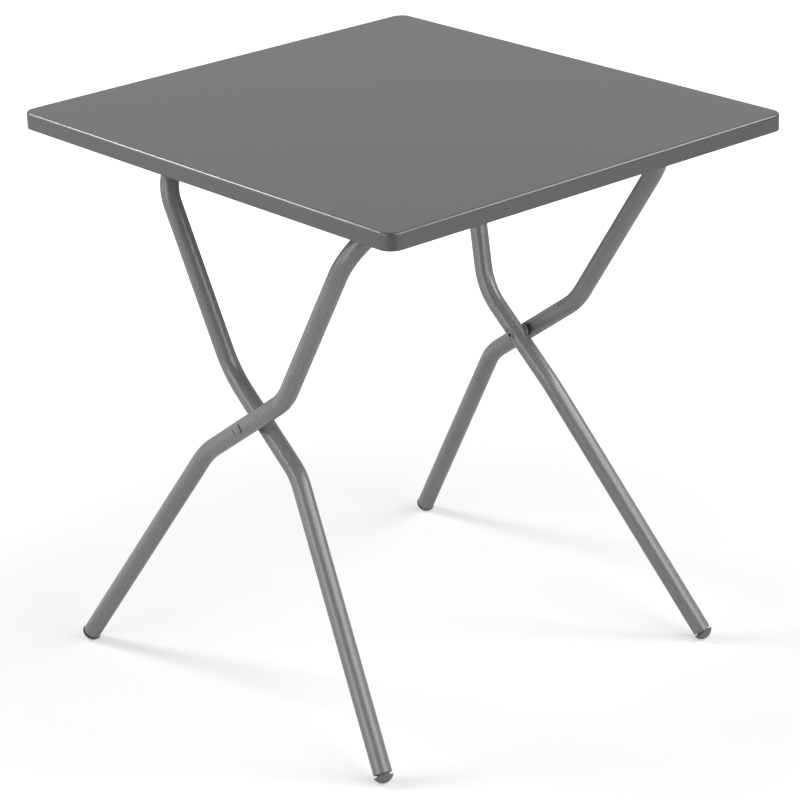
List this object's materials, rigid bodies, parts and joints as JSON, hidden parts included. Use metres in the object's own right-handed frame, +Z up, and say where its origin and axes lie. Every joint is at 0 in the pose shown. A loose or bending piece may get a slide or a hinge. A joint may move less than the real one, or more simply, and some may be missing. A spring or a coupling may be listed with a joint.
{
  "type": "folding balcony table",
  "caption": "Folding balcony table: rectangular sheet-steel top with a folded edge, hinged and hooked onto two crossing U frames of bent steel tube.",
  "frame": {"origin": "on the floor, below the middle of the top", "axes": "+X along the top from its catch end to its hinge end, +Y across the top from its left side to its right side, +Z up"},
  "size_m": [0.72, 0.64, 0.74],
  "materials": {
    "sheet_paint": "smooth satin powder coat, warm mid grey",
    "tube_paint": "fine-textured satin powder coat, mid grey",
    "plain_steel": "zinc-plated, satin",
    "grey_plastic": "moulded, matt, grey like the tubes",
    "black_plastic": "moulded, matt black"
  },
  "bodies": {
    "outer_frame": {"outer_leg_frame": "tube_paint", "pivot_pin_left": "tube_paint", "pivot_pin_right": "tube_paint", "pivot_spacer_left": "black_plastic", "pivot_spacer_right": "black_plastic", "pivot_washer_left": "plain_steel", "pivot_washer_right": "plain_steel", "outer_foot_left": "grey_plastic", "outer_foot_right": "grey_plastic"},
    "inner_frame": {"inner_leg_frame": "tube_paint", "inner_foot_left": "grey_plastic", "inner_foot_right": "grey_plastic"},
    "tabletop": {"table_top": "sheet_paint", "underside_rail_left": "sheet_paint", "underside_rail_right": "sheet_paint", "centre_stiffener": "sheet_paint", "hinge_strap_left": "sheet_paint", "hinge_strap_right": "sheet_paint", "hinge_bush_left": "black_plastic", "hinge_bush_right": "black_plastic", "hinge_rivets": "plain_steel", "catch_hook_left": "sheet_paint", "catch_hook_right": "sheet_paint", "catch_liner_left": "black_plastic", "catch_liner_right": "black_plastic", "catch_rivets": "plain_steel"}
  },
  "joints": [
    {"name": "leg_fold", "type": "hinge", "parent": "outer_frame", "child": "inner_frame", "pos_m": [-0.0255, 0, 0.379], "axis": [0, 1, 0], "range_deg": [0, 60]},
    {"name": "top_hinge", "type": "hinge", "parent": "outer_frame", "child": "tabletop", "pos_m": [0.24, 0, 0.71214], "axis": [0, 1, 0], "range_deg": [0, 24]}
  ],
  "couplings": [
    {"joint": "top_hinge", "follows": "leg_fold", "ratio": 0.4}
  ]
}
